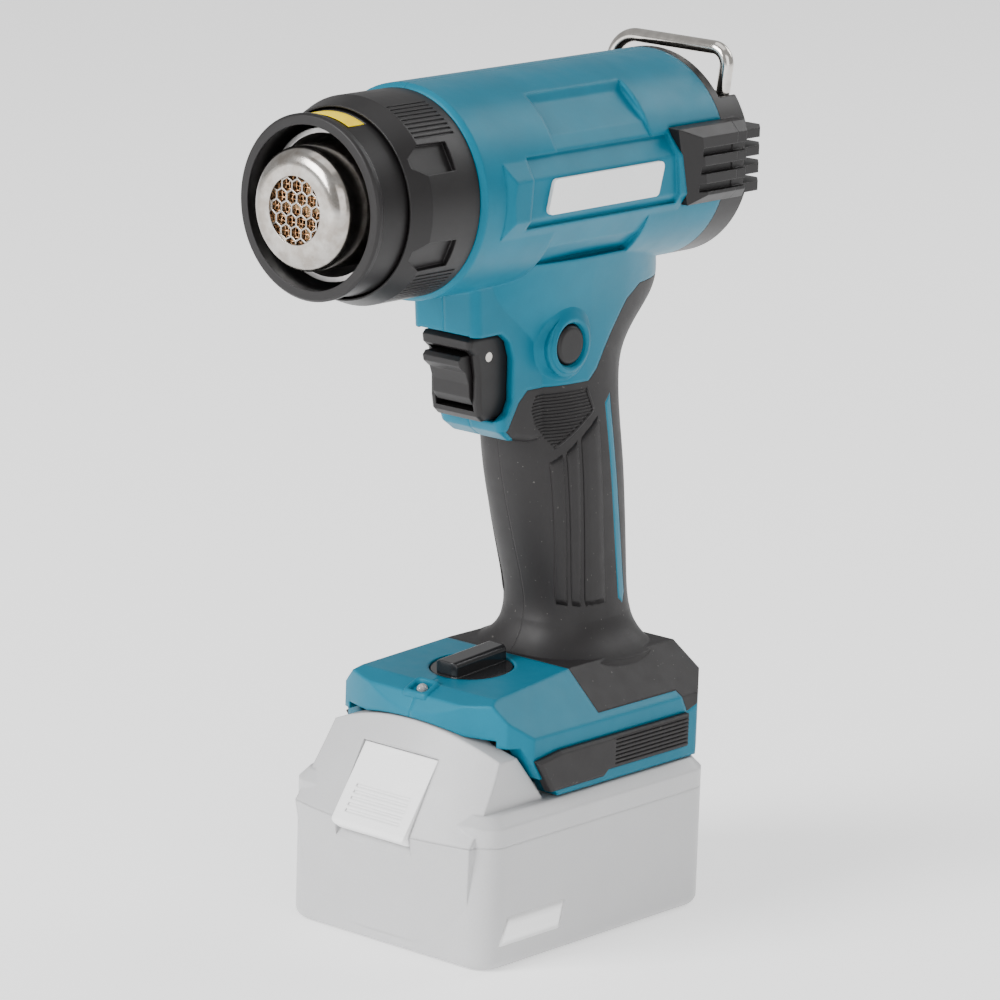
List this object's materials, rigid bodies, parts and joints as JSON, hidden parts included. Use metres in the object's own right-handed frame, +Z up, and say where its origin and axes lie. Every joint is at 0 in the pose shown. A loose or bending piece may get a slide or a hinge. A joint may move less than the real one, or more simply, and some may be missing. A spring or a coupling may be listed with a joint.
{
  "type": "cordless heat gun",
  "caption": "Cordless pistol-grip heat gun with a steel nozzle, sliding protector, folding hook, temperature dial and slide-on battery.",
  "frame": {"origin": "middle of the battery's underside, on the surface that the tool stands on", "axes": "+Z up, -Y the way the nozzle points, +X the tool's left side"},
  "size_m": [0.075, 0.1621, 0.2452],
  "materials": {
    "housing_teal": "fine satin texture",
    "elastomer": "matte soft grip",
    "black_plastic": "satin",
    "gloss_black": "glossy",
    "badge_white": "satin print",
    "chrome_wire": "polished wire",
    "nozzle_steel": "bright turned steel",
    "inner_steel": "plain",
    "mica": "mica board",
    "coil_wire": "resistance wire",
    "copper": "copper alloy",
    "caution_yellow": "plain yellow label",
    "circuit_board": "board",
    "lamp_lens": "clear lens",
    "spring_steel": "spring wire",
    "motor_steel": "zinc plated",
    "screw_black": "blackened",
    "battery_grey": "pale satin grey",
    "latch_white": "white satin",
    "wire_red": "insulated wire",
    "cell_wrap": "shrink wrapped cells"
  },
  "bodies": {
    "gun": {"housing_left": "housing_teal", "housing_right": "housing_teal", "grip_left": "elastomer", "grip_right": "elastomer", "bumper_left": "elastomer", "bumper_right": "elastomer", "heel_bumper": "elastomer", "vent_insert_left": "black_plastic", "vent_insert_right": "black_plastic", "badge_left": "badge_white", "badge_right": "badge_white", "rear_cover": "black_plastic", "intake_screen": "inner_steel", "nozzle": "nozzle_steel", "nozzle_grille": "nozzle_steel", "insulation_sleeve": "mica", "heater_core": "mica", "heating_coil": "coil_wire", "nozzle_flange": "inner_steel", "heat_shield": "inner_steel", "heater_duct": "black_plastic", "temperature_sensor": "copper", "motor": "motor_steel", "motor_mount": "black_plastic", "fan_shroud": "black_plastic", "switch_unit": "black_plastic", "dial_potentiometer": "inner_steel", "control_board": "circuit_board", "led_lens": "lamp_lens", "terminal_block": "black_plastic", "terminal_blades": "copper", "handle_wires": "wire_red", "housing_screws": "screw_black", "trigger_spring": "spring_steel", "lock_on_spring": "spring_steel"},
    "hook": {"hanging_hook": "chrome_wire"},
    "protector": {"guard_cup": "black_plastic", "caution_patch": "caution_yellow"},
    "collar": {"lock_ring": "black_plastic"},
    "rotor": {"motor_shaft": "motor_steel", "fan_impeller": "black_plastic"},
    "trigger": {"trigger": "black_plastic", "trigger_pin": "motor_steel"},
    "lock_off": {"lock_off_lever": "gloss_black"},
    "lock_on": {"lock_on_button": "black_plastic"},
    "dial": {"temp_dial": "gloss_black"},
    "pack": {"battery_case_upper": "battery_grey", "battery_case_lower": "battery_grey", "battery_cells": "cell_wrap", "cell_holder": "black_plastic", "battery_board": "circuit_board", "battery_contacts": "copper"},
    "pack_latch": {"battery_latch": "latch_white"}
  },
  "joints": [
    {"name": "hook_fold", "type": "hinge", "parent": "gun", "child": "hook", "pos_m": [0, 0.06, 0.227], "axis": [1, 0, 0], "range_deg": [-90, 0]},
    {"name": "protector_slide", "type": "slide", "parent": "gun", "child": "protector", "axis": [0, -1, 0], "range_m": [0, 0.03]},
    {"name": "collar_turn", "type": "hinge", "parent": "gun", "child": "collar", "pos_m": [0, -0.06, 0.2124], "axis": [0, -1, 0], "range_deg": [0, 30]},
    {"name": "rotor_spin", "type": "hinge", "parent": "gun", "child": "rotor", "pos_m": [0, 0.02, 0.2124], "axis": [0, 1, 0], "continuous": true},
    {"name": "trigger_pull", "type": "slide", "parent": "gun", "child": "trigger", "axis": [0, 1, 0], "range_m": [0, 0.005], "stiffness_N_per_m": 1200, "springref_m": -0.004, "deforming": ["trigger_spring"]},
    {"name": "lock_off_press", "type": "hinge", "parent": "trigger", "child": "lock_off", "pos_m": [0, -0.0238, 0.1648], "axis": [1, 0, 0], "range_deg": [0, 12], "stiffness_Nm_per_rad": 0.05, "springref_deg": -11.46},
    {"name": "lock_on_push", "type": "slide", "parent": "gun", "child": "lock_on", "axis": [-1, 0, 0], "range_m": [0, 0.003], "stiffness_N_per_m": 800, "springref_m": -0.002, "deforming": ["lock_on_spring"]},
    {"name": "dial_turn", "type": "hinge", "parent": "gun", "child": "dial", "pos_m": [0, -0.0165, 0.074], "axis": [0, -0.0698, 0.9976], "range_deg": [-135, 135]},
    {"name": "pack_slide", "type": "slide", "parent": "gun", "child": "pack", "axis": [0, -1, 0], "range_m": [0, 0.09]},
    {"name": "latch_press", "type": "slide", "parent": "pack", "child": "pack_latch", "axis": [0, -0.5667, -0.8239], "range_m": [0, 0.004], "stiffness_N_per_m": 700, "springref_m": -0.003}
  ]
}
